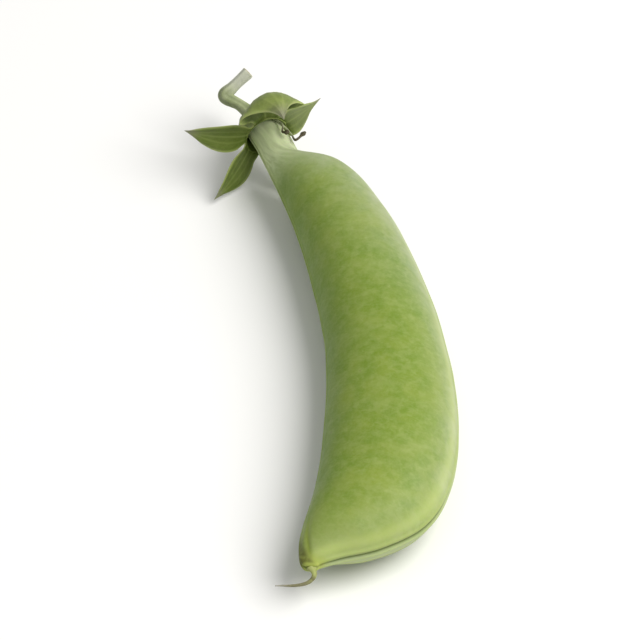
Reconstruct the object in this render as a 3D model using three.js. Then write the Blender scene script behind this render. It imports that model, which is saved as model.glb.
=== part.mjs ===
// A sugar snap pea, as picked, lying on one cheek: pod, calyx, bent stalk and dry style.
// Millimetres, +Z up. The beak points to -Y, the stalk to +Y, and the convex suture faces +X.
// The origin is on the surface that the pod rests on, under the middle of the bounding box.
import * as THREE from "three";
import { mergeVertices } from "three/addons/utils/BufferGeometryUtils.js";

// The pod from beak to neck, seen from above: where the concave suture passes, where the
// convex suture passes beside it, and how thick the pod is between them, cheek to cheek.
const POD_STATIONS = [
  { concave: [0.5, -2.3], convex: [0.7, -2.3], thick: 0 },
  { concave: [-0.9, -0.8], convex: [2.0, -1.6], thick: 2 },
  { concave: [-1.0, 1.4], convex: [4.8, -0.6], thick: 4.2 },
  { concave: [-0.4, 5], convex: [10.0, 1.1], thick: 8 },
  { concave: [1.0, 11.5], convex: [16.0, 5.3], thick: 11.4 },
  { concave: [2.2, 20.5], convex: [19.6, 13.8], thick: 12.9 },
  { concave: [2.7, 30], convex: [20.5, 25.6], thick: 13.1 },
  { concave: [2.4, 41], convex: [19.0, 39.6], thick: 13.1 },
  { concave: [0.8, 52], convex: [15.5, 53.4], thick: 13 },
  { concave: [-1.5, 62], convex: [11.2, 65], thick: 12 },
  { concave: [-4.0, 70.4], convex: [5.7, 73.8], thick: 9.4 },
  { concave: [-6.0, 76.2], convex: [-0.5, 76.6], thick: 5.6 },
  { concave: [-7.3, 79.8], convex: [-2.5, 80.8], thick: 4.4 },
  { concave: [-8.9, 83.2], convex: [-5.0, 85.0], thick: 4.1 },
];
const MID_HEIGHT = 6.3; // of the sutures above the surface: the lower cheek is pressed flat a little
const GAP = 0.3; // between neighbouring pieces

// The calyx cup, in the calyx's own frame: radius, and distance from the end of the neck away
// from the pod. It starts on the axis inside, goes round the rim, and ends on the axis outside.
const CUP_PROFILE = [
  [0, GAP],
  [2.2, GAP],
  [2.5, -0.4],
  [2.9, -3.0],
  [3.35, -3.0],
  [3.05, -0.4],
  [2.5, 0.9],
  [1.4, 1.6],
  [0, 1.6],
];
const RIM_RADIUS = 3.3;
const RIM_PLACE = -2.7; // where the sepals start, along the axis

// Five sepals on the cup's rim, angles in degrees. "around" is where a sepal leaves the rim,
// counted from the convex side over the top. "lean" is how far it leans out from the pod's own
// direction, at its base and at its tip. "sweep" is how far it turns round the axis on its way,
// and "bend" how deep its margins bend inwards, as a share of its half width. The outline of a
// sepal that is broad at the rim has a "start" of its own.
const SEPALS = [
  {
    name: "sepal_convex",
    around: 24,
    lean: [84, 98],
    sweep: -2,
    length: 6.1,
    width: 5.6,
    bend: 0.2,
    start: 0.46,
  },
  { name: "sepal_top", around: 91, lean: [124, -46], sweep: -8, length: 11.8, width: 10.4, bend: 0.6 },
  { name: "sepal_concave_upper", around: 156, lean: [75, 120], sweep: 8, length: 10, width: 5, bend: 0.3 },
  { name: "sepal_concave_lower", around: 210, lean: [55, 70], sweep: -8, length: 9, width: 4.8, bend: 0.3 },
  { name: "sepal_under", around: 292, lean: [28, -5], sweep: 8, length: 7.5, width: 4.4, bend: 0.4 },
];
const SEPAL_THICK = 0.5;
const LEAF_START = 0.18; // a sepal's outline is a sine arch that starts this far in, cut by the rim,
const TIP_TAPER = 0.25; // and that loses this share of its width towards the tip

// Routes of the stalk and the two dry stamen threads, in the calyx's own frame (towards the
// convex side, away from the pod, up), and of the style, from the tip of the beak.
const STALK_ROUTE = [
  [-0.1, 2.25, 0],
  [-1.0, 3.8, 0.5],
  [-2.4, 5.7, 1.2],
  [-1.2, 6.0, 1.9],
  [1.5, 6.4, 3.5],
];
const STALK_RADII = [1.0, 0.8, 0.95, 0.78, 0.85];
const STYLE_ROUTE = [
  [0.1, -0.4, 0],
  [0.45, -1.2, -0.2],
  [-0.1, -1.9, -0.6],
  [-1.5, -2.25, -1.0],
  [-4.8, -2.3, -1.1],
];
const STYLE_RADII = [0.34, 0.26, 0.22, 0.2, 0.16];
const THREAD_ROUTES = [
  [
    [2.7, -3.6, 0.9],
    [2.7, -5.6, 1.4],
    [2.5, -7.4, 2.1],
    [4.3, -6.6, 2.2],
  ],
  [
    [1.9, -3.6, 2.3],
    [1.8, -4.6, 2.7],
    [1.2, -5.8, 2.8],
    [1.7, -6.7, 3.3],
  ],
];
const THREAD_RADIUS = 0.17;

const green = (color, roughness) => new THREE.MeshStandardMaterial({ color, roughness, metalness: 0 });
const podGreen = green(0x91a657, 0.5);
const leafGreen = green(0x73823b, 0.6);
const stalkGreen = green(0x93a17a, 0.6);
const dryBrown = green(0x8d8a5c, 0.8);

// A closed skin round a spine. section(share, angle) is a point of it, with share running from
// 0 to 1 along the spine. A cut end is flat, and any other end comes to a point.
function closedSkin(spine, section, { around, along, cutStart = false, cutEnd = false }) {
  const geometry = new THREE.SphereGeometry(1, around, along);
  const position = geometry.getAttribute("position");
  const uv = geometry.getAttribute("uv");
  const first = cutStart ? 1 : 0;
  const last = cutEnd ? along - 1 : along;
  for (let i = 0; i < position.count; i += 1) {
    const ring = Math.round((1 - uv.getY(i)) * along);
    const share = THREE.MathUtils.clamp((ring - first) / (last - first), 0, 1);
    const isPole = ring === 0 || ring === along;
    const point = isPole ? spine(share) : section(share, 2 * Math.PI * uv.getX(i));
    position.setXYZ(i, point.x, point.y, point.z);
  }
  return welded(geometry);
}

function welded(geometry) {
  geometry.deleteAttribute("normal");
  geometry.deleteAttribute("uv");
  const skin = mergeVertices(geometry);
  skin.computeVertexNormals();
  return skin;
}

function named(name, geometry, material) {
  const mesh = new THREE.Mesh(geometry, material);
  mesh.name = name;
  return mesh;
}

const curveThrough = (points) => new THREE.CatmullRomCurve3(points.map((p) => new THREE.Vector3(...p)));

// How a size changes along a piece, smoothly through evenly spaced values.
function sizeAlong(values) {
  const curve = new THREE.SplineCurve(values.map((value, i) => new THREE.Vector2(i, value)));
  return (share) => curve.getPoint(share).y;
}

// Pod
const concaveSuture = curveThrough(POD_STATIONS.map((s) => [...s.concave, MID_HEIGHT]));
const convexSuture = curveThrough(POD_STATIONS.map((s) => [...s.convex, MID_HEIGHT]));
const podThickness = sizeAlong(POD_STATIONS.map((s) => s.thick));

const podSpine = (share) => concaveSuture.getPoint(share).lerp(convexSuture.getPoint(share), 0.5);

function podSection(share, angle) {
  const point = podSpine(share);
  const halfWidth = convexSuture.getPoint(share).sub(point);
  point.addScaledVector(halfWidth, Math.cos(angle));
  point.z += 0.5 * podThickness(share) * Math.sin(angle);
  point.z = Math.max(point.z, 0);
  return point;
}

const podGeometry = closedSkin(podSpine, podSection, { around: 32, along: 48, cutEnd: true });
const pod = named("pod", podGeometry, podGreen);

// A tube of changing radius along a curve, with both ends cut.
function tube(curve, radiusAlong, around, along) {
  const frames = curve.computeFrenetFrames(along);
  const spine = (share) => curve.getPointAt(share);
  const section = (share, angle) => {
    const step = Math.round(share * along);
    const radius = radiusAlong(share);
    return spine(share)
      .addScaledVector(frames.binormals[step], radius * Math.cos(angle))
      .addScaledVector(frames.normals[step], radius * Math.sin(angle));
  };
  return closedSkin(spine, section, { around, along: along + 2, cutStart: true, cutEnd: true });
}

// Which way a sepal heads, a share of the way along it: straight out from the axis, and onwards.
function sepalHeading({ around, lean, sweep }, share) {
  const place = THREE.MathUtils.degToRad(around + sweep * share);
  const tilt = THREE.MathUtils.degToRad(THREE.MathUtils.lerp(lean[0], lean[1], share));
  const out = new THREE.Vector3(Math.cos(place), 0, Math.sin(place));
  const onwards = out.clone().multiplyScalar(Math.sin(tilt)).setY(-Math.cos(tilt));
  return { out, onwards };
}

// The midrib starts just outside the rim and is followed in short steps.
function sepalMidrib(sepal) {
  const steps = 24;
  const start = sepalHeading(sepal, 0).out.multiplyScalar(RIM_RADIUS + GAP + SEPAL_THICK / 2);
  const points = [start.setY(RIM_PLACE)];
  for (let i = 0; i < steps; i += 1) {
    const { onwards } = sepalHeading(sepal, (i + 0.5) / steps);
    points.push(points[i].clone().addScaledVector(onwards, sepal.length / steps));
  }
  return new THREE.CatmullRomCurve3(points);
}

// A sepal in the calyx's own frame: a thin leaf along its midrib, with its margins bent inwards.
function sepalGeometry(sepal) {
  const midrib = sepalMidrib(sepal);
  const spine = (share) => midrib.getPoint(share);
  const section = (share, angle) => {
    const { out, onwards } = sepalHeading(sepal, share);
    const side = new THREE.Vector3(-out.z, 0, out.x);
    const face = new THREE.Vector3().crossVectors(side, onwards);
    const arch = Math.sin(Math.PI * THREE.MathUtils.lerp(sepal.start ?? LEAF_START, 1, share));
    const halfWidth = 0.5 * sepal.width * arch * (1 - TIP_TAPER * share ** 2);
    const swell = 0.5 * SEPAL_THICK * Math.sin(angle) * Math.min(1, 4 * (1 - share));
    const inward = sepal.bend * halfWidth * Math.cos(angle) ** 2;
    return spine(share)
      .addScaledVector(side, halfWidth * Math.cos(angle))
      .addScaledVector(face, swell - inward);
  };
  return closedSkin(spine, section, { around: 12, along: 14, cutStart: true });
}

// Calyx, stalk and threads share a frame: the origin is the end of the neck, X points to the
// convex side, Y away from the pod, and Z up.
const neckAcross = convexSuture.getPoint(1).sub(concaveSuture.getPoint(1));
const calyx = new THREE.Group();
calyx.position.copy(podSpine(1));
calyx.rotation.z = Math.atan2(neckAcross.y, neckAcross.x);
const cupGeometry = welded(new THREE.LatheGeometry(CUP_PROFILE.map((p) => new THREE.Vector2(...p)), 20));
calyx.add(named("calyx_cup", cupGeometry, leafGreen));
for (const sepal of SEPALS) {
  calyx.add(named(sepal.name, sepalGeometry(sepal), leafGreen));
}
calyx.add(named("stalk", tube(curveThrough(STALK_ROUTE), sizeAlong(STALK_RADII), 10, 18), stalkGreen));
THREAD_ROUTES.forEach((route, i) => {
  const thread = tube(curveThrough(route), () => THREAD_RADIUS, 6, 10);
  calyx.add(named(`stamen_thread_${i + 1}`, thread, dryBrown));
});

const style = named("style", tube(curveThrough(STYLE_ROUTE), sizeAlong(STYLE_RADII), 8, 16), dryBrown);
style.position.copy(podSpine(0));

const pea = new THREE.Group();
pea.add(pod, calyx, style);
pea.updateMatrixWorld(true);
const box = new THREE.Box3().setFromObject(pea, true);
const middle = box.getCenter(new THREE.Vector3());
pea.position.set(-middle.x, -middle.y, -box.min.z);

export default pea;
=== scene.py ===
"""The looks of a sugar snap pea as picked, lying on one cheek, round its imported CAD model.

Shapes are worked out in millimetres, on the same stations, routes and angles as the CAD model, with a
much finer skin: sutures with their lips, swellings over the peas, a folded beak, veined sepals, a
ribbed stalk. Each piece then goes to metres in the row frame, and replaces the CAD node it stands for.
Measures of the skin, such as how far a point is from a suture, are kept on each mesh for its material.
"""

import math

import bpy
import numpy as np
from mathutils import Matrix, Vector, noise


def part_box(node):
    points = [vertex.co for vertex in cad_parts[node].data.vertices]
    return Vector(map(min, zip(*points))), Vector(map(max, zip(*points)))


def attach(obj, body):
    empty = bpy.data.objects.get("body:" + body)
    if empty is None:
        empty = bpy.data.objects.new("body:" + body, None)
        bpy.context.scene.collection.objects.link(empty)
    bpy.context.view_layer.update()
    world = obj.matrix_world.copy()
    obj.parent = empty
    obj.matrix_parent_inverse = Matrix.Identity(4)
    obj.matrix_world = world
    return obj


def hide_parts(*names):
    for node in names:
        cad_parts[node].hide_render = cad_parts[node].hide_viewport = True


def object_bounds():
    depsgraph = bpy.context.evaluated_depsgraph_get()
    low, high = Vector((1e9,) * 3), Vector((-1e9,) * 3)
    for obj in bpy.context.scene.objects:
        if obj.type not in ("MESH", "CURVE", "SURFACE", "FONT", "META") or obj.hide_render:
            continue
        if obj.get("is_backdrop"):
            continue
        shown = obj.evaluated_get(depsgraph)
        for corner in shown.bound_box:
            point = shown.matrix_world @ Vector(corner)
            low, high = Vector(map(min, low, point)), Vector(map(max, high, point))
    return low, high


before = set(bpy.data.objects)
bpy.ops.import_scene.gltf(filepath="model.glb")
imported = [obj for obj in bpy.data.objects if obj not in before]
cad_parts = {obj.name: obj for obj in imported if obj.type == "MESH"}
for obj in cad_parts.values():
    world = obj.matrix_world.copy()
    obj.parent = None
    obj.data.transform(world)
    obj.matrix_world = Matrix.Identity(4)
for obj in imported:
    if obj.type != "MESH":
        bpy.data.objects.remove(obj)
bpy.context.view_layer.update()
MM = 0.001

# The pod from beak to neck, seen from above, as the CAD model has it, with a blunter beak: where the
# concave suture passes, where the convex suture passes beside it, and how thick the pod is there.
POD_STATIONS = (
    ((0.35, -2.3), (0.85, -2.3), 0.4),
    ((-0.45, -2.15), (1.5, -2.25), 1.3),
    ((-0.85, -1.4), (1.95, -1.85), 1.9),
    ((-1.0, 1.4), (4.8, -0.6), 4.2),
    ((-0.4, 5.0), (10.0, 1.1), 8.0),
    ((1.0, 11.5), (16.0, 5.3), 11.4),
    ((2.2, 20.5), (19.6, 13.8), 12.9),
    ((2.7, 30.0), (20.5, 25.6), 13.1),
    ((2.4, 41.0), (19.0, 39.6), 13.1),
    ((0.8, 52.0), (15.5, 53.4), 13.0),
    ((-1.5, 62.0), (11.2, 65.0), 12.0),
    ((-4.0, 70.4), (5.7, 73.8), 9.4),
    ((-6.0, 76.2), (-0.5, 76.6), 5.6),
    ((-7.3, 79.8), (-2.5, 80.8), 4.4),
    ((-8.9, 83.2), (-5.0, 85.0), 4.1),
)
MID_HEIGHT = 6.3  # of the sutures above the surface

# The calyx cup, in the calyx's own frame: radius, and distance from the end of the neck away from the
# pod. It starts on the axis inside, goes round the rim, and ends round the stalk outside.
CUP_PROFILE = (
    (0.02, 0.35), (1.5, 0.33), (2.2, 0.1), (2.55, -0.8), (2.75, -2.0), (2.93, -2.85), (3.08, -3.0),
    (3.2, -2.85), (3.15, -2.0), (3.02, -0.8), (2.75, 0.35), (2.2, 1.1), (1.5, 1.6), (1.08, 2.1),
    (0.95, 2.5),
)
CUP_WALL = (3.2, -2.7), (3.03, -0.9)  # the outer wall near the rim and a little up from it
SEPAL_START = -1.3  # where a sepal begins to stand out from the wall

# The sepals as in the CAD model: angles in degrees, lengths in millimetres. The one on the convex side
# has a "start" of its own, because it is broad at the rim. Two values are for looks only: how "slender"
# its point is, beyond the CAD model's, and how much paler its colour is painted, as painted light.
SEPALS = {
    "sepal_convex": dict(
        around=24, lean=(84, 98), sweep=-2, length=6.1, width=5.6, bend=0.2,
        start=0.46, slender=0.45, pale_painted_light=0.5,
    ),
    "sepal_top": dict(around=91, lean=(124, -46), sweep=-8, length=11.8, width=10.4, bend=0.6),
    "sepal_concave_upper": dict(around=156, lean=(75, 120), sweep=8, length=10, width=5, bend=0.3),
    "sepal_concave_lower": dict(around=210, lean=(55, 70), sweep=-8, length=9, width=4.8, bend=0.3),
    "sepal_under": dict(around=292, lean=(28, -5), sweep=8, length=7.5, width=4.4, bend=0.4),
}
SEPAL_THICK = 0.42
LEAF_START = 0.18  # a sepal's outline is a sine arch that starts this far in
TIP_TAPER = 0.25  # and that loses this share of its width towards the tip
FINE_POINT = 0.3  # and this share more over the last part

# Routes as in the CAD model, but started deeper, in the cup's wall and in the beak.
STALK_ROUTE = ((-0.1, 1.9, 0), (-1.0, 3.8, 0.5), (-2.4, 5.7, 1.2), (-1.2, 6.0, 1.9), (1.5, 6.4, 3.5))
STALK_RADII = (1.0, 0.8, 0.95, 0.78, 0.85)
# The rings that round off the stalk's cut: how far past the route's end, and what share of the radius.
STALK_CUT = ((0.03, 0.97), (0.07, 0.88), (0.09, 0.7), (0.105, 0.45), (0.115, 0.2))
STYLE_ROUTE = (
    (0.1, 0.0, 0), (0.45, -1.2, -0.2), (-0.1, -1.9, -0.6), (-1.5, -2.25, -1.0), (-4.8, -2.3, -1.1),
)
STYLE_RADII = (0.4, 0.26, 0.22, 0.18, 0.11)
THREAD_ROUTES = (
    ((2.35, -2.0, 0.8), (2.7, -3.6, 0.95), (2.7, -5.6, 1.4), (2.5, -7.4, 2.1), (4.3, -6.6, 2.2)),
    ((1.55, -2.0, 1.95), (1.9, -3.6, 2.3), (1.8, -4.6, 2.7), (1.2, -5.8, 2.8), (1.7, -6.7, 3.3)),
)
THREAD_RADIUS = 0.17


# ---------------------------------------------------------------- curves and numbers

def catmull_rom(points, shares):
    """Points of a centripetal Catmull-Rom curve, at these shares of its parameter."""
    points = np.asarray(points, float)
    last = len(points) - 1
    spots = np.clip(np.asarray(shares, float), 0, 1) * last
    first = np.minimum(spots.astype(int), last - 1)
    part = (spots - first)[:, None]
    padded = np.vstack([2 * points[0] - points[1], points, 2 * points[-1] - points[-2]])
    p0, p1, p2, p3 = (padded[first + k] for k in range(4))
    pairs = ((p0, p1), (p1, p2), (p2, p3))
    d0, d1, d2 = (np.sqrt(np.linalg.norm(b - a, axis=1))[:, None] for a, b in pairs)
    leave = d1 * ((p1 - p0) / d0 - (p2 - p0) / (d0 + d1) + (p2 - p1) / d1)
    arrive = d1 * ((p2 - p1) / d1 - (p3 - p1) / (d1 + d2) + (p3 - p2) / d2)
    square, cube = part**2, part**3
    return (
        (2 * cube - 3 * square + 1) * p1
        + (cube - 2 * square + part) * leave
        + (3 * square - 2 * cube) * p2
        + (cube - square) * arrive
    )


def smooth_values(values, shares):
    """How a size changes along a piece, smoothly through evenly spaced values."""
    values = np.asarray(values, float)
    last = len(values) - 1
    spots = np.clip(np.asarray(shares, float), 0, 1) * last
    first = np.minimum(spots.astype(int), last - 1)
    t = spots - first
    before, after = np.maximum(first - 1, 0), np.minimum(first + 2, last)
    leave = (values[first + 1] - values[before]) / 2
    arrive = (values[after] - values[first]) / 2
    rise = values[first + 1] - values[first]
    square, cube = 3 * rise - 2 * leave - arrive, leave + arrive - 2 * rise
    return values[first] + t * leave + t**2 * square + t**3 * cube


def smooth_step(low, high, x):
    """0 up to low, 1 from high on, and a smooth rise between them."""
    t = np.clip((x - low) / (high - low), 0, 1)
    return t * t * (3 - 2 * t)


def bell(x, width):
    """1 at 0, and near 0 from twice the width on."""
    return np.exp(-((x / width) ** 2))


def unit(vectors):
    return vectors / np.maximum(np.linalg.norm(vectors, axis=-1, keepdims=True), 1e-12)


def lengths_along(points):
    """Distance walked along a line of points, from its first."""
    steps = np.linalg.norm(np.diff(points, axis=0), axis=-1)
    return np.concatenate([np.zeros_like(steps[:1]), np.cumsum(steps, axis=0)])


def lumps(grid, size, offset=0.0):
    """Smooth noise from -1 to 1 over a grid of points, with lumps of about that size."""
    flat = grid.reshape(-1, 3) / size + offset
    return np.array([noise.noise(Vector(p)) for p in flat]).reshape(grid.shape[:-1])


def outward(grid, middle):
    """Normals of a skin given as rings of points, facing away from the middle of each ring."""
    around = np.roll(grid, -1, axis=1) - np.roll(grid, 1, axis=1)
    along = np.gradient(grid, axis=0)
    normals = unit(np.cross(around, along))
    away = (normals * (grid - middle[:, None, :])).sum(-1).sum()
    return normals if away > 0 else -normals


# ---------------------------------------------------------------- frames

# The stations' own frame is moved so that their low corner meets that of the CAD pod's box.
pod_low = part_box("pod")[0]
corner_x = min(x for concave, convex, _ in POD_STATIONS for x in (concave[0], convex[0]))
corner_y = min(y for concave, convex, _ in POD_STATIONS for y in (concave[1], convex[1]))
SHIFT = np.array(pod_low) / MM - (corner_x, corner_y, 0)

NECK_CONCAVE, NECK_CONVEX = (np.array([*POD_STATIONS[-1][k], MID_HEIGHT]) for k in (0, 1))
ACROSS = unit(NECK_CONVEX - NECK_CONCAVE)
CALYX_AXES = np.array([ACROSS, (-ACROSS[1], ACROSS[0], 0), (0, 0, 1)])


def from_pod(grid):
    """From millimetres in the stations' own frame to metres in the row frame."""
    return (grid + SHIFT) * MM


def from_calyx(grid):
    """The calyx's own frame has X to the convex side, Y away from the pod and Z up."""
    return from_pod(grid @ CALYX_AXES + (NECK_CONCAVE + NECK_CONVEX) / 2)


def from_beak(grid):
    """The style's own frame has its origin at the tip of the beak."""
    tip = (np.array(POD_STATIONS[0][0]) + POD_STATIONS[0][1]) / 2
    return from_pod(grid + (*tip, MID_HEIGHT))


# ---------------------------------------------------------------- meshes

def skin(name, grid, place, measures):
    """A closed smooth mesh from rings of points, each end closed by a fan to its middle.

    measures are numbers or vectors at each point, kept on the mesh under their names for its material.
    """
    rows, columns = grid.shape[:2]
    points = place(np.vstack([grid.reshape(-1, 3), grid[0].mean(0), grid[-1].mean(0)]))
    index = np.arange(rows * columns).reshape(rows, columns)
    beside = np.roll(index, -1, axis=1)
    quads = np.stack([index[:-1], beside[:-1], beside[1:], index[1:]], -1).reshape(-1, 4)
    fans = [(beside[0, j], index[0, j], rows * columns) for j in range(columns)]
    fans += [(index[-1, j], beside[-1, j], rows * columns + 1) for j in range(columns)]
    mesh = bpy.data.meshes.new(name)
    mesh.from_pydata(points.tolist(), [], quads.tolist() + fans)
    unroll(mesh, grid)
    for label, values in measures.items():
        values = np.asarray(values, np.float32)
        ends = np.stack([values[0].mean(0), values[-1].mean(0)])
        kind = "FLOAT_VECTOR" if values.ndim == 3 else "FLOAT"
        layer = mesh.attributes.new(label, kind, "POINT")
        flat = np.concatenate([values.reshape(rows * columns, -1), ends.reshape(2, -1)])
        layer.data.foreach_set("vector" if values.ndim == 3 else "value", flat.ravel())
    mesh.shade_smooth()
    mesh.update()
    piece = bpy.data.objects.new(name, mesh)
    bpy.context.scene.collection.objects.link(piece)
    face_out(piece)
    return piece


MAP_UP, MAP_ACROSS, MAP_END = 0.01, 0.004, 0.001  # margins of the map: the rows, the columns, the fans
LEAST_STEP = 1e-3  # keeps rows that lie on each other apart in the map


def unroll(mesh, grid):
    """A map of the skin: once round it across, its length up, and one seam, at the first column."""
    rows, columns = grid.shape[:2]
    up = lengths_along(grid.mean(1))
    up = (up + LEAST_STEP * np.arange(rows)) / (up[-1] + LEAST_STEP * rows)
    up = MAP_UP + (1 - 2 * MAP_UP) * up
    across = MAP_ACROSS + (1 - 2 * MAP_ACROSS) * np.arange(columns + 1) / columns
    corners = [
        (across[j + dj], up[i + di])
        for i in range(rows - 1)
        for j in range(columns)
        for di, dj in ((0, 0), (0, 1), (1, 1), (1, 0))
    ]
    for j in range(columns):
        middle = (across[j] + across[j + 1]) / 2
        corners += [(across[j + 1], up[0]), (across[j], up[0]), (middle, MAP_END)]
    for j in range(columns):
        middle = (across[j] + across[j + 1]) / 2
        corners += [(across[j], up[-1]), (across[j + 1], up[-1]), (middle, 1 - MAP_END)]
    layer = mesh.uv_layers.new(name="OFBake")
    layer.uv.foreach_set("vector", np.asarray(corners, np.float32).ravel())


def face_out(piece):
    """Turns the faces round if the closed mesh is inside out."""
    mesh = piece.data
    points = np.zeros(len(mesh.vertices) * 3, np.float32)
    mesh.vertices.foreach_get("co", points)
    points = points.reshape(-1, 3).astype(float)
    mesh.calc_loop_triangles()
    corners = np.zeros(len(mesh.loop_triangles) * 3, np.int32)
    mesh.loop_triangles.foreach_get("vertices", corners)
    a, b, c = (points[corners[k::3]] for k in range(3))
    if (a * np.cross(b, c)).sum() < 0:
        mesh.flip_normals()


def tube(name, points, radii, place, columns, shape=None, measures=None):
    """A skin of changing radius along a line of points.

    shape(share, angle) is a factor on the radius. Each measure is made from the share of the length
    and the angle round.
    """
    ahead = unit(np.gradient(points, axis=0))
    side = unit(np.cross(ahead[0], (0.2, 0.1, 1.0)))
    angle = 2 * np.pi * np.arange(columns) / columns
    share = lengths_along(points) / lengths_along(points)[-1]
    rings = []
    for i, point in enumerate(points):
        side = unit(side - ahead[i] * (side @ ahead[i]))
        third = np.cross(ahead[i], side)
        radius = radii[i] * (shape(share[i], angle) if shape else np.ones(columns))
        circle = np.outer(np.cos(angle), side) + np.outer(np.sin(angle), third)
        rings.append(point + radius[:, None] * circle)
    along = np.repeat(share[:, None], columns, 1)
    kept = {label: make(along, angle[None, :]) for label, make in (measures or {}).items()}
    return skin(name, np.array(rings), place, {"along": along, **kept})


ROUTE_SAMPLES = 400


def evenly(route, count):
    """A smooth route as evenly spaced points."""
    dense = catmull_rom(route, np.linspace(0, 1, ROUTE_SAMPLES))
    walked = lengths_along(dense)
    wanted = np.linspace(0, walked[-1], count)
    return np.stack([np.interp(wanted, walked, dense[:, k]) for k in range(3)], 1)


# ---------------------------------------------------------------- pod

POD_ROWS, POD_COLUMNS = 392, 232
SUTURE_CROWDING = 0.3  # how strongly the columns crowd towards the sutures
LEAST_THICKNESS = 0.3
PINCH = 0.1  # how much the cheeks come together at the sutures
TIP_RANGE = (0.4, 2.4)  # where, from the tip of the beak, it turns from fold to sutures
NECK_RANGE = (13.0, 7.0)  # where, from the end of the neck, its ribs come up
# The swellings over the peas: their places along the pod, their heights, and how far they reach.
PEAS = ((12.6, 0.24), (21.5, 0.33), (30.6, 0.3), (40.1, 0.36), (49.3, 0.3), (58.2, 0.34), (66.3, 0.26))
PEA_REACH = 4.0
CONVEX_LIP, CONCAVE_LIP = 0.62, 0.42  # from the middle of a suture's groove to the crest of its lips
# How high and wide the lips are, and how deep and wide the grooves between them.
CONVEX_LIPS, CONVEX_GROOVE = (0.2, 0.3), (0.17, 0.17)
CONCAVE_LIPS, CONCAVE_GROOVE = (0.12, 0.24), (0.1, 0.14)
BEAK_LIPS, BEAK_GROOVE = (0.16, 0.26), (0.3, 0.17)
BEAK_LIP = 0.5
GROOVE_WANDER = 0.12  # how far the convex groove leaves the middle of its suture
CREASE_DEPTH, CREASE_WIDTH = 0.16, 0.42  # of the fold beside the beak, under the concave suture
NECK_RIBS, RIB_HEIGHT = 11, 0.05
UNEVEN = ((0.16, 14.0, 1.7), (0.05, 4.5, 8.2))  # height, size and offset of the lumps
FLOOR_ROUNDING, FLOOR_SINK = 0.12, 0.02  # how softly the skin flattens where it meets the surface
SHOULDER_FROM_END = 14.5
MOST_WAX_AND_SHEEN = 1.2


def pod_turns():
    """Angles round the pod, from under it: 0 is the convex suture and pi the concave one."""
    even = -np.pi / 2 + 2 * np.pi * np.arange(POD_COLUMNS) / POD_COLUMNS
    return even - SUTURE_CROWDING * np.sin(2 * even)


def distances_round(grid):
    """How far each point is from the convex and from the concave suture, along its ring."""
    steps = np.linalg.norm(np.roll(grid, -1, axis=1) - grid, axis=-1)
    whole = steps.sum(1, keepdims=True)
    walked = np.cumsum(steps, axis=1) - steps
    found = []
    for column in (POD_COLUMNS // 4, 3 * POD_COLUMNS // 4):
        gap = np.abs(walked - walked[:, column : column + 1])
        found.append(np.minimum(gap, whole - gap))
    return found


def raised(distance, size):
    """A rounded ridge, of a height and a width, at the distance 0."""
    high, wide = size
    return high * bell(distance, wide)


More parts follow.
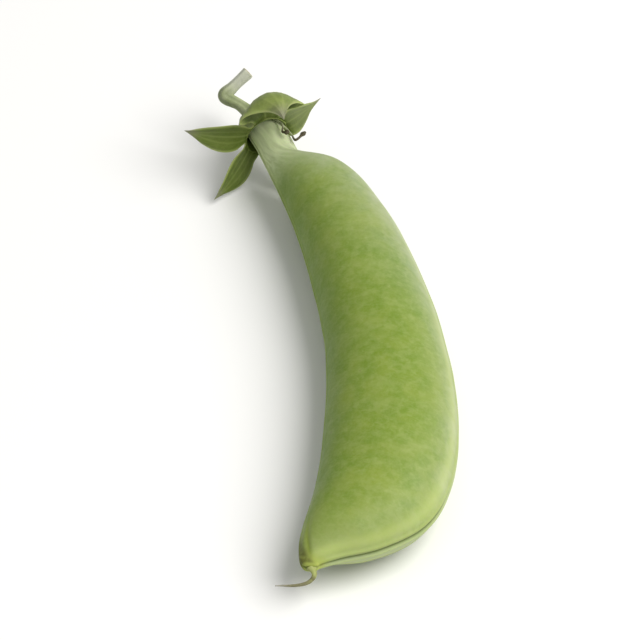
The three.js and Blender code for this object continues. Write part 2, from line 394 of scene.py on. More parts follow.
def make_pod():
    shares = np.linspace(0, 1, POD_ROWS)
    concave = catmull_rom([(*s[0], MID_HEIGHT) for s in POD_STATIONS], shares)
    convex = catmull_rom([(*s[1], MID_HEIGHT) for s in POD_STATIONS], shares)
    thick = np.maximum(smooth_values([s[2] for s in POD_STATIONS], shares), LEAST_THICKNESS)
    middle = (concave + convex) / 2
    turns = pod_turns()
    grid = middle[:, None, :] + (convex - middle)[:, None, :] * np.cos(turns)[None, :, None]
    pinch = 1 - PINCH * np.cos(turns) ** 6
    grid[..., 2] += 0.5 * thick[:, None] * np.sin(turns) * pinch
    along = np.repeat(lengths_along(middle)[:, None], POD_COLUMNS, 1)
    to_convex, to_concave = distances_round(grid)
    height = np.abs(grid[..., 2] - MID_HEIGHT)
    cheek = np.abs(np.sin(turns))[None, :]
    length = along[-1, 0]

    # Where the skin's features are, from 0 to 1: the very tip, the neck, and the fold beside the beak.
    tip = 1 - smooth_step(*TIP_RANGE, along)
    neck = smooth_step(length - NECK_RANGE[0], length - NECK_RANGE[1], along)
    wander = GROOVE_WANDER * lumps(grid * (0, 1, 0), 7.0, 3.1)
    crease = bell(to_concave - 1.9 - 0.06 * along, CREASE_WIDTH)
    crease *= smooth_step(0.6, 2.0, along) * (1 - smooth_step(3.0, 9.0, along))

    # How far they lift the skin, in millimetres.
    on_convex = raised(to_convex - CONVEX_LIP, CONVEX_LIPS) - raised(to_convex - wander, CONVEX_GROOVE)
    on_concave = raised(to_concave - CONCAVE_LIP, CONCAVE_LIPS) - raised(to_concave, CONCAVE_GROOVE)
    on_beak = raised(height - BEAK_LIP, BEAK_LIPS) - raised(height, BEAK_GROOVE)
    sutures = (1 - tip) * (on_convex + on_concave) + tip * on_beak
    swell = sum(size * bell(along - spot, PEA_REACH) for spot, size in PEAS) * cheek**2
    ribs = RIB_HEIGHT * neck * np.cos(NECK_RIBS * turns + 0.4)[None, :] * cheek
    uneven = sum(high * lumps(grid, size, offset) for high, size, offset in UNEVEN) * (1 - tip)
    rise = sutures - CREASE_DEPTH * crease + swell + ribs + uneven
    grid += outward(grid, middle) * rise[..., None]
    grid[..., 2] = 0.5 * (grid[..., 2] + np.sqrt(grid[..., 2] ** 2 + FLOOR_ROUNDING**2)) - FLOOR_SINK

    # What the material needs to know.
    side = np.repeat(8 * np.sin(turns)[None, :], POD_ROWS, 0)
    # Waxy bloom and painted sheen: pale along the convex side and over the shoulder, as reflection at
    # grazing angles.
    wax_and_sheen_width = 5.0 + 2.6 * smooth_step(38.0, 60.0, along)
    wax_and_painted_sheen = bell(to_convex, wax_and_sheen_width) * (
        0.35 + 0.5 * smooth_step(8.0, 26.0, along) + 0.35 * smooth_step(48.0, 70.0, along)
    )
    shoulder_painted_sheen = 0.95 * bell(along - (length - SHOULDER_FROM_END), 5.5) * bell(to_convex, 11.0)
    near_fold = 1 - smooth_step(1.3, 2.8, to_concave + 0.2 * along)
    convex_crest = bell(to_convex - CONVEX_LIP, 0.34)
    concave_crest = bell(to_concave - CONCAVE_LIP, 0.26)
    # Painted shade: the grooves of the sutures and the fold of the beak are painted dark.
    groove_shade = np.maximum(bell(to_convex - wander, 0.2), 0.7 * bell(to_concave, 0.16))
    measures = {
        "skin": np.stack([to_convex, along, side], -1),
        "lips": np.maximum(convex_crest, 0.6 * concave_crest) * (1 - tip),
        "groove_shade": np.maximum(groove_shade * (1 - tip), 0.5 * tip * bell(height, 0.22)),
        "neck": smooth_step(length - 16, length - 8, along),
        "beak": tip,
        "crease": crease,
        # worn brown skin by the beak's concave edge, with painted shade there
        "worn_and_painted_shade": smooth_step(0.0, 0.55, along) * (1 - smooth_step(2.2, 6.0, along)) * near_fold,
        "wax_and_painted_sheen": np.clip(np.maximum(wax_and_painted_sheen, shoulder_painted_sheen), 0, MOST_WAX_AND_SHEEN),
        "band": bell(to_convex - 2.2, 1.2) * (1 - tip),
        "under": bell(to_convex, 2.6) * smooth_step(0.0, 0.12, -np.sin(turns))[None, :],
        # painted light: a deeper green along the concave side as painted shade, and at the neck a
        # lighter concave side
        "concave_side_painted_light": bell(to_concave, 5.5) * (0.35 + 0.65 * smooth_step(5.0, 15.0, along)),
        "towards_beak": 1 - smooth_step(3.0, 14.0, along),
    }
    return skin("pod_skin", grid, from_pod, measures)


# ---------------------------------------------------------------- calyx

SEPAL_ROWS, SEPAL_COLUMNS = 96, 88
CUP_ROWS, CUP_COLUMNS = 120, 168
CUP_RIB = 0.1
REACH_POWER = 0.85  # under 1, it gathers the columns of a sepal towards its margins
MARGIN_ROLL, MARGIN_WAVE, WAVES = 0.22, 0.1, 9
FULL_WAVES = 0.8  # half width from which a sepal's margins roll and wave fully
TIP_THINNING = 0.55  # the share of its thickness that a sepal loses towards the tip
VEIN_RELIEF, INNER_RELIEF = 0.09, 0.4  # height of the veins, and what share of it is left inside
SIDE_VEINS, VEIN_ARCH = 7.0, 0.42
NERVE_PLACE = 0.45  # of the long nerves, as a share of the half width


def gaps_beside(name):
    """Half the angle, in radians, from a sepal to each of its neighbours: towards less and more."""
    places = sorted(s["around"] for s in SEPALS.values())
    at = places.index(SEPALS[name]["around"])
    before = (places[at] - places[at - 1]) % 360
    after = (places[(at + 1) % len(places)] - places[at]) % 360
    return math.radians(before / 2), math.radians(after / 2)


def sepal_midrib(spec):
    """Points along a sepal, from inside the cup's wall to the tip, with its two cross directions.

    Also how far each point is past the rim, and the share of the free leaf that is behind it.
    """
    (rim_radius, rim_place), (wall_radius, wall_place) = CUP_WALL
    slope = (rim_radius - wall_radius) / (rim_place - wall_place)
    on_wall = SEPAL_START - rim_place
    whole = on_wall + spec["length"]
    share = np.linspace(0, 1, SEPAL_ROWS)
    free = np.clip((share * whole - on_wall) / spec["length"], 0, 1)
    place = np.radians(spec["around"] + spec["sweep"] * free)
    lean = spec["lean"][0] + (spec["lean"][1] - spec["lean"][0]) * free
    leave = smooth_step(on_wall - 0.9, on_wall + 0.9, share * whole)
    tilt = np.radians(lean * leave + math.degrees(math.atan(-slope)) * (1 - leave))
    out = np.stack([np.cos(place), 0 * place, np.sin(place)], 1)
    side = np.stack([-np.sin(place), 0 * place, np.cos(place)], 1)
    onwards = out * np.sin(tilt)[:, None] + np.array((0, -1, 0)) * np.cos(tilt)[:, None]
    start_radius = wall_radius + slope * (SEPAL_START - wall_place) - SEPAL_THICK / 2 + 0.05
    start = out[0] * start_radius + (0, SEPAL_START, 0)
    steps = (onwards[1:] + onwards[:-1]) / 2 * whole / (SEPAL_ROWS - 1)
    points = start + np.vstack([np.zeros(3), np.cumsum(steps, axis=0)])
    return points, side, np.cross(side, onwards), share * whole - on_wall, free


def make_sepal(name, spec):
    """A leaf that starts as a part of the cup's curved wall and comes free of it past the rim."""
    spine, side, face, walked, free = sepal_midrib(spec)
    angle = 2 * np.pi * np.arange(SEPAL_COLUMNS) / SEPAL_COLUMNS
    across = np.cos(angle)[None, :]
    reach = np.sign(across) * np.abs(across) ** REACH_POWER
    gap_less, gap_more = gaps_beside(name)
    gap = np.where(reach > 0, gap_more, gap_less)
    radius = CUP_WALL[0][0]
    wall_side, wall_in = radius * np.sin(gap * reach), radius * (1 - np.cos(gap * reach))

    begin = spec.get("start", LEAF_START)
    arch = np.sin(np.pi * (begin + (1 - begin) * free))
    taper = (1 - TIP_TAPER * free**2) * (1 - FINE_POINT * smooth_step(0.7, 1.0, free))
    taper = taper * (1 - spec.get("slender", 0.0) * smooth_step(0.15, 0.85, free))
    half = (0.5 * spec["width"] * arch * taper)[:, None]
    wide = np.minimum(1, half / FULL_WAVES)
    roll = MARGIN_ROLL * smooth_step(0.72, 1.0, np.abs(reach))
    roll = roll * smooth_step(0.1, 0.4, free)[:, None] * wide
    phase = math.radians(spec["around"])
    turn = WAVES * free[:, None] + 5 * phase + 1.4 * np.sign(reach)
    wave = MARGIN_WAVE * np.sin(turn) * reach**2 * wide
    leaf_side, leaf_in = half * reach, spec["bend"] * half * reach**2 - roll - wave
    free_now = smooth_step(-0.4, 1.6, walked)[:, None]
    sideways = (1 - free_now) * wall_side + free_now * leaf_side
    inwards = (1 - free_now) * wall_in + free_now * leaf_in

    veins = sepal_veins(reach, half, free[:, None])
    thick = SEPAL_THICK * smooth_step(-1.4, -0.3, walked) * (1 - TIP_THINNING * free)
    thick = thick * np.minimum(1, 6 * (1 - free) + 0.1)
    body = 0.5 * thick[:, None] * np.sign(np.sin(angle)) * np.abs(np.sin(angle)) ** 0.7
    outer = np.sin(angle)[None, :] > 0
    relief = VEIN_RELIEF * veins * smooth_step(-0.6, 0.4, walked)[:, None]
    relief = relief * np.where(outer, 1, INNER_RELIEF)
    grid = (
        spine[:, None, :]
        + side[:, None, :] * sideways[..., None]
        + face[:, None, :] * (body + relief - inwards)[..., None]
    )
    full = np.ones_like(sideways)
    up = np.repeat(walked[:, None], SEPAL_COLUMNS, 1)
    measures = {
        "margin": smooth_step(0.78, 1.0, np.abs(reach)) * full,
        "vein": veins * full,
        "inner_face_shade": np.where(outer, 0.0, 1.0) * full,
        "share": free[:, None] * full,
        "pale_painted_light": spec.get("pale_painted_light", 0.0) * smooth_step(-0.5, 2.5, walked)[:, None] * full,
        "leaf": np.stack([half * reach, up, 3 * np.sin(angle) * full], -1),
    }
    return skin(name + "_leaf", grid, from_calyx, measures)


def sepal_veins(reach, half, free):
    """The midrib, and side veins that leave it and arch towards the tip, from 0 to 1."""
    midrib = bell(reach * half, 0.17) * (1 - 0.6 * free)
    climb = free - VEIN_ARCH * np.abs(reach) ** 1.3
    branches = np.abs((climb * SIDE_VEINS) % 1 - 0.5) * 2
    side = smooth_step(0.82, 1.0, branches) * smooth_step(0.06, 0.2, np.abs(reach))
    side = side * (1 - smooth_step(0.75, 0.98, np.abs(reach))) * smooth_step(0.02, 0.12, free)
    long_nerve = bell((np.abs(reach) - NERVE_PLACE * (1 - 0.5 * free**2)) * half, 0.12) * 0.6
    return np.maximum(np.maximum(midrib, 0.45 * side), long_nerve)


def make_cup():
    """The cup, with a low rib outside under each sepal's midrib."""
    profile = catmull_rom([(r, y, 0) for r, y in CUP_PROFILE], np.linspace(0, 1, CUP_ROWS))
    angle = 2 * np.pi * np.arange(CUP_COLUMNS) / CUP_COLUMNS
    ribs = np.zeros(CUP_COLUMNS)
    for spec in SEPALS.values():
        away = (np.degrees(angle) - spec["around"] + 180) % 360 - 180
        ribs = np.maximum(ribs, bell(away, 7.0))
    rim_index = int(np.argmin(profile[:, 1]))
    outer = (np.arange(len(profile)) > rim_index)[:, None]
    radius = profile[:, :1] + np.where(outer, CUP_RIB * ribs * smooth_step(0.9, 2.2, profile[:, :1]), 0)
    up = np.repeat(profile[:, 1:2], CUP_COLUMNS, 1)
    grid = np.stack([radius * np.cos(angle), up, radius * np.sin(angle)], -1)
    full = np.ones_like(radius)
    measures = {
        "margin": 0 * full,
        "vein": ribs * full * outer,
        "inner_face_shade": np.where(outer, 0.0, 1.0) * full,
        "share": 0 * full,
        "pale_painted_light": 0 * full,
        "leaf": grid * (1, -1, 1),
    }
    return skin("calyx_cup_wall", grid, from_calyx, measures)


STALK_ROWS, STALK_COLUMNS = 150, 72
STALK_RIBS, RIB_TWIST = 5, 2.2
STYLE_ROWS, STYLE_COLUMNS = 150, 28
THREAD_ROWS, THREAD_COLUMNS = 70, 16


def make_stalk():
    points = evenly(STALK_ROUTE, STALK_ROWS)
    radii = smooth_values(STALK_RADII, np.linspace(0, 1, STALK_ROWS))
    onwards = unit(points[-1] - points[-2])
    cap = np.array(STALK_CUT)
    points = np.vstack([points, points[-1] + cap[:, :1] * onwards])
    radii = np.concatenate([radii, radii[-1] * cap[:, 1]])

    def ribbed(share, angle):
        ridge = 0.06 * np.cos(STALK_RIBS * angle + RIB_TWIST * share) + 0.02 * np.cos(11 * angle + 1.0)
        torn = 0.05 * smooth_step(0.96, 0.99, share) * np.sin(3 * angle + 0.7)
        return 1 + ridge + torn

    measures = {
        "cut": lambda along, angle: smooth_step(0.987, 0.993, along) * np.ones_like(angle),
        "ridges": lambda along, angle: np.cos(STALK_RIBS * angle + RIB_TWIST * along),
    }
    return tube("stalk_skin", points, radii, from_calyx, STALK_COLUMNS, ribbed, measures)


def make_style():
    points = evenly(STYLE_ROUTE, STYLE_ROWS)
    share = np.linspace(0, 1, STYLE_ROWS)
    wander = np.stack([np.sin(17 * share), np.cos(13 * share), np.sin(11 * share)], 1)
    points = points + 0.05 * wander * share[:, None]
    radii = smooth_values(STYLE_RADII, share) * (1 + 0.5 * (1 - smooth_step(0, 0.08, share)))

    def flattened(share, angle):
        return 1 + 0.22 * np.cos(2 * angle + 3 * share) + 0.05 * np.cos(5 * angle)

    return tube("style_thread", points, radii, from_beak, STYLE_COLUMNS, flattened)


def make_stamen(number, route):
    """A dry thread that ends in a small thick head."""
    points = evenly(route, THREAD_ROWS)
    share = np.linspace(0, 1, THREAD_ROWS)
    head = 1.1 * bell(share - 0.94, 0.05)
    radii = THREAD_RADIUS * (1.15 - 0.35 * share + head)

    def flattened(share, angle):
        return 1 + 0.25 * np.cos(2 * angle + 5 * share)

    return tube(f"stamen_{number}_thread", points, radii, from_calyx, THREAD_COLUMNS, flattened)


# ---------------------------------------------------------------- materials

class Surface:
    """Short calls for building the nodes of one material."""

    def __init__(self, name):
        self.material = bpy.data.materials.new(name)
        self.material.use_nodes = True
        self.tree = self.material.node_tree
        self.shader = self.tree.nodes["Principled BSDF"]

    def node(self, kind, inputs=(), **settings):
        made = self.tree.nodes.new(kind)
        for setting, value in settings.items():
            setattr(made, setting, value)
        for socket, value in dict(inputs).items():
            self.feed(made.inputs[socket], value)
        return made

    def feed(self, socket, value):
        if isinstance(value, bpy.types.NodeSocket):
            self.tree.links.new(value, socket)
        else:
            socket.default_value = value

    def kept(self, label, vector=False):
        made = self.node("ShaderNodeAttribute", attribute_name=label, attribute_type="GEOMETRY")
        return made.outputs["Vector" if vector else "Fac"]

    def place(self):
        return self.node("ShaderNodeTexCoord").outputs["Object"]

    def scaled(self, vector, scale):
        made = self.node("ShaderNodeVectorMath", {0: vector, 1: scale}, operation="MULTIPLY")
        return made.outputs[0]

    def noise(self, vector, scale, detail=3.0, roughness=0.5, distortion=0.0):
        inputs = {"Vector": vector, "Scale": scale, "Detail": detail, "Roughness": roughness}
        made = self.node("ShaderNodeTexNoise", {**inputs, "Distortion": distortion})
        return made.outputs["Fac"]

    def cell_edges(self, vector, scale):
        inputs = {"Vector": vector, "Scale": scale}
        made = self.node("ShaderNodeTexVoronoi", inputs, feature="DISTANCE_TO_EDGE")
        return made.outputs["Distance"]

    def warped(self, vector, amount, scale):
        """The same coordinates, pushed about by a smooth noise."""
        lumpy = self.node("ShaderNodeTexNoise", {"Vector": vector, "Scale": scale, "Detail": 2.0})
        inputs = {0: lumpy.outputs["Color"], 1: (0.5, 0.5, 0.5)}
        push = self.node("ShaderNodeVectorMath", inputs, operation="SUBTRACT").outputs[0]
        inputs = {0: push, 1: (amount, amount, amount), 2: vector}
        return self.node("ShaderNodeVectorMath", inputs, operation="MULTIPLY_ADD").outputs[0]

    def maths(self, operation, a, b):
        return self.node("ShaderNodeMath", {0: a, 1: b}, operation=operation).outputs[0]

    def ramp(self, value, low, high, to_low=0.0, to_high=1.0):
        inputs = {"Value": value, "From Min": low, "From Max": high, "To Min": to_low, "To Max": to_high}
        return self.node("ShaderNodeMapRange", inputs, interpolation_type="SMOOTHSTEP").outputs["Result"]

    def mix(self, share, a, b):
        made = self.node("ShaderNodeMix", data_type="RGBA")
        self.feed(made.inputs[0], share)
        for socket, value in ((made.inputs[6], a), (made.inputs[7], b)):
            self.feed(socket, value if isinstance(value, bpy.types.NodeSocket) else (*value, 1.0))
        return made.outputs[2]

    def tint(self, colour, share, most, over):
        """That colour, with another over it where the share is 1, and never more of it than most."""
        return self.mix(self.maths("MULTIPLY", share, most), colour, over)

    def bump(self, height, distance, strength=1.0, before=None):
        inputs = {"Height": height, "Distance": distance, "Strength": strength}
        if before is not None:
            inputs["Normal"] = before
        return self.node("ShaderNodeBump", inputs).outputs["Normal"]

    def finish(self, **sockets):
        for label, value in sockets.items():
            self.feed(self.shader.inputs[label.replace("_", " ")], value)
        return self.material


# Colours are linear RGB. A pattern on the object's own place has its scale per metre, and one on the
# kept measures "skin" and "leaf" has it per millimetre.
POD_COLOURS = {
    "deep": (0.140, 0.226, 0.012),
    "light": (0.205, 0.274, 0.032),
    "cloud": (0.220, 0.284, 0.056),
    "mottle": (0.108, 0.200, 0.005),
    "speckle": (0.262, 0.325, 0.088),
    # painted shade along the concave side
    "concave_side_painted_light": (0.094, 0.182, 0.0),
    "towards_beak": (0.265, 0.335, 0.085),
    "band": (0.385, 0.465, 0.105),
    "vein": (0.36, 0.44, 0.15),
    "grain": (0.34, 0.41, 0.13),
    # waxy bloom and painted sheen
    "wax_and_painted_sheen": (0.485, 0.505, 0.415),
    "under": (0.48, 0.54, 0.36),
    # the neck's painted shade on its convex side and painted light on its concave side
    "neck_painted_shade": (0.43, 0.48, 0.28),
    "neck_painted_light": (0.62, 0.70, 0.40),
    "lips": (0.34, 0.41, 0.12),
    "groove_shade": (0.07, 0.10, 0.015),
    "beak": (0.33, 0.38, 0.06),
    "crease": (0.21, 0.27, 0.02),
    "worn_and_painted_shade": (0.088, 0.096, 0.014),
    "speck": (0.16, 0.15, 0.04),
}
LEAF_COLOURS = {
    "deep": (0.110, 0.150, 0.024),
    "light": (0.205, 0.255, 0.060),
    # painted shade on the inner faces
    "inner_face_shade": (0.062, 0.098, 0.004),
    "pale_painted_light": (0.25, 0.29, 0.13),
    "vein": (0.31, 0.37, 0.11),
    "margin": (0.34, 0.39, 0.13),
    "tip": (0.19, 0.175, 0.13),
}
STALK_COLOURS = {
    "deep": (0.215, 0.26, 0.11),
    "light": (0.36, 0.40, 0.22),
    "furrow": (0.09, 0.115, 0.04),
    "knee": (0.11, 0.125, 0.065),
    "end": (0.50, 0.51, 0.42),
    "cut": (0.34, 0.29, 0.16),
}
STYLE_COLOURS = {"fresh": (0.30, 0.335, 0.10), "dried": (0.19, 0.18, 0.085), "tip": (0.36, 0.35, 0.29)}
STAMEN_COLOURS = {"fresh": (0.40, 0.44, 0.25), "dried": (0.07, 0.055, 0.025), "tip": (0.06, 0.05, 0.02)}
BLOTCH = (0.075, 0.06, 0.025)
STYLE_FRESH, STAMEN_FRESH = 0.3, 0.6  # the share of the length that has not dried
LIGHT_REACH = (0.5, 1.0, 0.25)  # how much further green light travels under the skin
POD_DEPTH, LEAF_DEPTH = 0.0012, 0.0006


def pod_material():
    s, shades = Surface("pod_skin"), POD_COLOURS
    where, across = s.kept("skin", vector=True), s.place()

    # The greens: broad patches and clouds, fine mottling, and the slow changes over the pod.
    patches = s.noise(across, 75.0, detail=3.0, distortion=0.5)
    clouds = s.noise(s.scaled(where, (0.06, 0.26, 0.06)), 1.0, detail=2.0, distortion=0.5)
    colour = s.mix(s.ramp(patches, 0.3, 0.7), shades["deep"], shades["light"])
    colour = s.mix(s.ramp(clouds, 0.35, 0.7, 0.0, 0.5), colour, shades["cloud"])
    mottle = s.noise(across, 300.0, detail=2.0, distortion=0.3)
    colour = s.mix(s.ramp(mottle, 0.32, 0.72, 0.0, 0.6), colour, shades["mottle"])
    speckle = s.noise(across, 900.0, detail=3.0, roughness=0.6, distortion=0.2)
    colour = s.mix(s.ramp(speckle, 0.38, 0.72, 0.0, 0.5), colour, shades["speckle"])
    # Painted shade: the concave side of the pod is painted a deeper green.
    for label, most in (("concave_side_painted_light", 0.7), ("towards_beak", 0.5), ("band", 0.6)):
        colour = s.tint(colour, s.kept(label), most, shades[label])

    # A faint net of veins, coarse and fine, and the grain of the skin.
    warped = s.warped(s.scaled(where, (0.30, 0.85, 0.32)), 1.3, 0.55)
    net = s.ramp(s.cell_edges(warped, 0.75), 0.0, 0.10, 1.0, 0.0)
    fine = s.ramp(s.cell_edges(s.warped(where, 0.8, 0.9), 1.5), 0.0, 0.16, 1.0, 0.0)
    veins = s.maths("MAXIMUM", net, s.maths("MULTIPLY", fine, 0.4))
    colour = s.tint(colour, veins, 0.075, shades["vein"])
    grain = s.noise(across, 2600.0, detail=2.0, roughness=0.6)
    colour = s.mix(s.ramp(grain, 0.35, 0.75, 0.0, 0.14), colour, shades["grain"])

    # The waxy bloom and painted sheen, the pale skin under the convex side and at the neck, and the two
    # sutures.
    wax_and_sheen_noise = s.noise(across, 240.0, detail=3.0, roughness=0.6, distortion=0.6)
    wax_and_sheen_patches = s.ramp(wax_and_sheen_noise, 0.25, 0.75, 0.45, 1.0)
    colour = s.tint(colour, s.maths("MULTIPLY", s.kept("wax_and_painted_sheen"), wax_and_sheen_patches), 0.55, shades["wax_and_painted_sheen"])
    colour = s.tint(colour, s.kept("under"), 0.5, shades["under"])
    neck, beak, lips, groove_shade = (s.kept(label) for label in ("neck", "beak", "lips", "groove_shade"))
    streaks = s.noise(s.scaled(where, (1.0, 0.1, 0.9)), 1.0, detail=2.0)
    # The pale neck, painted lighter on its concave side and darker on its convex side: painted light and
    # shade.
    pale_painted_light = s.mix(s.kept("concave_side_painted_light"), shades["neck_painted_shade"], shades["neck_painted_light"])
    colour = s.mix(s.maths("MULTIPLY", neck, s.ramp(streaks, 0.3, 0.65, 0.55, 0.92)), colour, pale_painted_light)
    colour = s.tint(colour, lips, 0.5, shades["lips"])
    # Painted shade in the suture grooves: a near black-green along them.
    colour = s.tint(colour, groove_shade, 0.75, shades["groove_shade"])

    # The beak, the worn brown skin beside it, darkened further as painted shade, and a few specks
    # everywhere.
    colour = s.tint(colour, beak, 0.75, shades["beak"])
    colour = s.tint(colour, s.kept("crease"), 0.6, shades["crease"])
    scar_noise = s.noise(across, 620.0, detail=3.0, roughness=0.6, distortion=0.5)
    scars = s.ramp(scar_noise, 0.34, 0.56, 0.6, 1.0)
    fold = s.maths("MULTIPLY", s.maths("MULTIPLY", beak, groove_shade), 0.6)
    worn_and_painted_shade = s.maths("MULTIPLY", s.maths("MAXIMUM", s.kept("worn_and_painted_shade"), fold), scars)
    colour = s.tint(colour, worn_and_painted_shade, 0.95, shades["worn_and_painted_shade"])
    specks = s.noise(across, 900.0, detail=2.0)
    colour = s.mix(s.ramp(specks, 0.76, 0.8, 0.0, 0.4), colour, shades["speck"])

    # Relief that is too fine for the mesh, and the sheen.
    pores = s.noise(across, 4200.0, detail=2.0)
    height = s.maths("ADD", s.maths("MULTIPLY", veins, 0.3), s.maths("MULTIPLY", pores, 0.35))
    normal = s.bump(s.noise(across, 600.0, detail=3.0), 0.0002, 0.2)
    normal = s.bump(height, 0.00004, 0.35, normal)
    rough = s.ramp(s.noise(across, 260.0, detail=4.0, roughness=0.6), 0.3, 0.7, 0.48, 0.6)
    rough = s.maths("ADD", rough, s.maths("MULTIPLY", s.maths("MAXIMUM", neck, beak), 0.1))
    s.finish(Base_Color=colour, Roughness=rough, Normal=normal)
    return s.finish(
        Subsurface_Weight=0.1,
        Subsurface_Radius=LIGHT_REACH,
        Subsurface_Scale=POD_DEPTH,
        Specular_IOR_Level=0.3,
    )


def leaf_material():
    s, shades = Surface("calyx_leaf"), LEAF_COLOURS
    across = s.place()
    margin, vein, inner_face_shade, share = (s.kept(label) for label in ("margin", "vein", "inner_face_shade", "share"))
    patches = s.noise(across, 420.0, detail=4.0, roughness=0.6, distortion=0.5)
    colour = s.mix(s.ramp(patches, 0.3, 0.7), shades["deep"], shades["light"])
    # Painted shade: the inner faces of the sepals and the inside of the cup are painted dark, as in a
    # hollow.
    colour = s.tint(colour, inner_face_shade, 0.65, shades["inner_face_shade"])
    # Painted light: the convex sepal is painted paler, for the light on its inner face.
    colour = s.mix(s.kept("pale_painted_light"), colour, shades["pale_painted_light"])
    flat = s.warped(s.scaled(s.kept("leaf", vector=True), (1.6, 1.1, 1.0)), 0.5, 1.2)
    net = s.ramp(s.cell_edges(flat, 1.5), 0.0, 0.11, 1.0, 0.0)
    veins = s.maths("MAXIMUM", vein, s.maths("MULTIPLY", net, 0.16))
    colour = s.tint(colour, veins, 0.45, shades["vein"])
    colour = s.tint(colour, margin, 0.75, shades["margin"])
    colour = s.mix(s.ramp(share, 0.72, 1.0, 0.0, 0.8), colour, shades["tip"])
    grain = s.noise(across, 2400.0, detail=3.0, roughness=0.6)
    height = s.maths("ADD", s.maths("MULTIPLY", veins, 0.7), s.maths("MULTIPLY", grain, 0.4))
    normal = s.bump(height, 0.00008, 0.7)
    rough = s.ramp(patches, 0.3, 0.7, 0.46, 0.6)
    s.finish(Base_Color=colour, Roughness=rough, Normal=normal)
    return s.finish(
        Subsurface_Weight=0.1,
        Subsurface_Radius=LIGHT_REACH,
        Subsurface_Scale=LEAF_DEPTH,
        Specular_IOR_Level=0.35,
    )


def stalk_material():
    s, shades = Surface("stalk_skin"), STALK_COLOURS
    across, along, cut = s.place(), s.kept("along"), s.kept("cut")
    ridges = s.kept("ridges")
    patches = s.noise(across, 500.0, detail=4.0, roughness=0.6, distortion=0.4)
    colour = s.mix(s.ramp(patches, 0.3, 0.7), shades["deep"], shades["light"])
    colour = s.mix(s.ramp(ridges, -1.0, 1.0, 0.3, 0.0), colour, shades["furrow"])
    knee = s.maths("MULTIPLY", s.ramp(along, 0.36, 0.5), s.ramp(along, 0.5, 0.66, 1.0, 0.0))
    colour = s.tint(colour, knee, 0.2, shades["knee"])
    colour = s.mix(s.ramp(along, 0.5, 0.8, 0.0, 0.8), colour, shades["end"])
    colour = s.tint(colour, cut, 0.85, shades["cut"])
    grain = s.noise(s.scaled(across, (1.0, 0.35, 1.0)), 1800.0, detail=4.0, roughness=0.6)
    normal = s.bump(s.maths("ADD", grain, s.maths("MULTIPLY", ridges, 0.3)), 0.0001, 0.7)
    return s.finish(Base_Color=colour, Roughness=s.ramp(patches, 0.3, 0.7, 0.5, 0.66), Normal=normal)


def dry_material(name, fresh_share, shades):
    """Fresh and pale at its start, dried brown from that share of its length on, and then its tip."""
    s = Surface(name)
    across, along = s.place(), s.kept("along")
    patches = s.noise(across, 900.0, detail=4.0, roughness=0.6, distortion=0.4)
    drying = s.ramp(along, fresh_share - 0.15, fresh_share + 0.15)
    colour = s.mix(drying, shades["fresh"], shades["dried"])
    colour = s.mix(s.ramp(along, 0.65, 1.0), colour, shades["tip"])
    spots, later = s.ramp(patches, 0.45, 0.7), s.ramp(along, 0.0, fresh_share, 0.15, 0.7)
    colour = s.mix(s.maths("MULTIPLY", spots, later), colour, BLOTCH)
    normal = s.bump(s.noise(across, 2600.0, detail=4.0, roughness=0.6), 0.00008, 0.8)
    return s.finish(Base_Color=colour, Roughness=s.ramp(patches, 0.3, 0.7, 0.62, 0.8), Normal=normal)


# ---------------------------------------------------------------- putting it together

def dress(piece, node, material):
    """Gives a piece its material, and lets it stand for its CAD node."""
    piece.data.materials.append(material)
    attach(piece, "root")
    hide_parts(node)


dress(make_pod(), "pod", pod_material())
leaf = leaf_material()
dress(make_cup(), "calyx_cup", leaf)
for sepal_name, sepal_spec in SEPALS.items():
    dress(make_sepal(sepal_name, sepal_spec), sepal_name, leaf)
dress(make_stalk(), "stalk", stalk_material())
dry_style = dry_material("dry_style", STYLE_FRESH, STYLE_COLOURS)
dress(make_style(), "style", dry_style)
dry_stamen = dry_material("dry_stamen", STAMEN_FRESH, STAMEN_COLOURS)
for number, thread_route in enumerate(THREAD_ROUTES, 1):
    dress(make_stamen(number, thread_route), f"stamen_thread_{number}", dry_stamen)


# ---------------------------------------------------------------- floor, light and camera

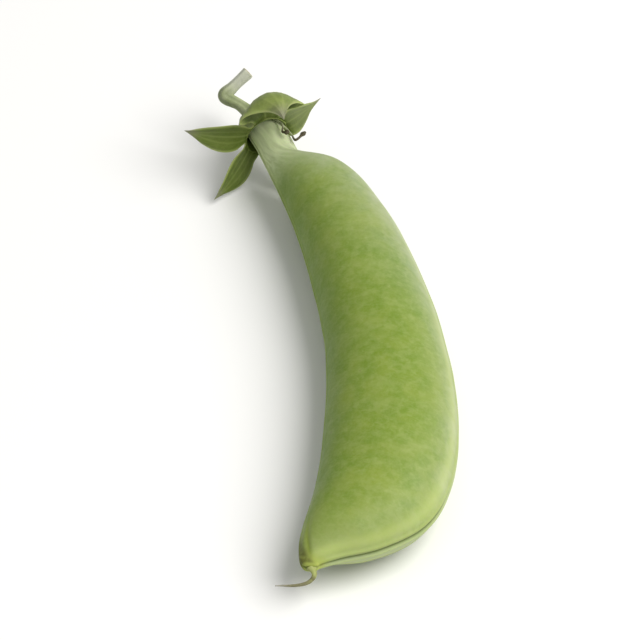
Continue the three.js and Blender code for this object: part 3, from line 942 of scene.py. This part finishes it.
FLOOR_SIZE = 60.0
FLOOR_COLOUR = (0.86, 0.86, 0.85, 1.0)
SKY_STRENGTH = 0.5
KEY_PLACE, KEY_SIZE = (0.4, -0.1, 0.55), 0.6
KEY_POWER, KEY_COLOUR = 5.4, (1.0, 0.985, 0.96)
CAMERA_ELEVATION = 45.0
CAMERA_DISTANCE = 1.6
SENSOR_WIDTH = 36.0
VIEW_HEIGHT = 0.088


def make_floor():
    bpy.ops.mesh.primitive_plane_add(size=FLOOR_SIZE, location=(0, 0, 0))
    floor = bpy.context.object
    floor.name = "floor"
    s = Surface("pale_floor")
    floor.data.materials.append(s.finish(Base_Color=FLOOR_COLOUR, Roughness=0.7))
    floor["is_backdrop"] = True


def make_key_light():
    lamp = bpy.data.lights.new("key", "AREA")
    lamp.shape, lamp.size, lamp.energy, lamp.color = "DISK", KEY_SIZE, KEY_POWER, KEY_COLOUR
    holder = bpy.data.objects.new("key", lamp)
    holder.location = KEY_PLACE
    holder.rotation_euler = (-Vector(KEY_PLACE)).to_track_quat("-Z", "Y").to_euler()
    bpy.context.scene.collection.objects.link(holder)


def make_world():
    world = bpy.data.worlds.new("studio")
    bpy.context.scene.world = world
    world.use_nodes = True
    sky = world.node_tree.nodes["Background"]
    sky.inputs["Color"].default_value = (1.0, 1.0, 1.0, 1.0)
    sky.inputs["Strength"].default_value = SKY_STRENGTH


def make_camera():
    lowest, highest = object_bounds()
    middle = (lowest + highest) / 2
    tilt = math.radians(CAMERA_ELEVATION)
    back = Vector((0, -math.cos(tilt), math.sin(tilt)))
    camera = bpy.data.objects.new("camera", bpy.data.cameras.new("camera"))
    camera.data.sensor_width = SENSOR_WIDTH
    camera.data.lens = SENSOR_WIDTH * CAMERA_DISTANCE / VIEW_HEIGHT
    camera.data.clip_start, camera.data.clip_end = 0.01, 2 * FLOOR_SIZE
    camera.location = middle + back * CAMERA_DISTANCE
    camera.rotation_euler = (-back).to_track_quat("-Z", "Y").to_euler()
    bpy.context.scene.collection.objects.link(camera)
    bpy.context.scene.camera = camera


make_floor()
make_world()
make_key_light()
make_camera()
bpy.context.scene.view_settings.view_transform = "Standard"
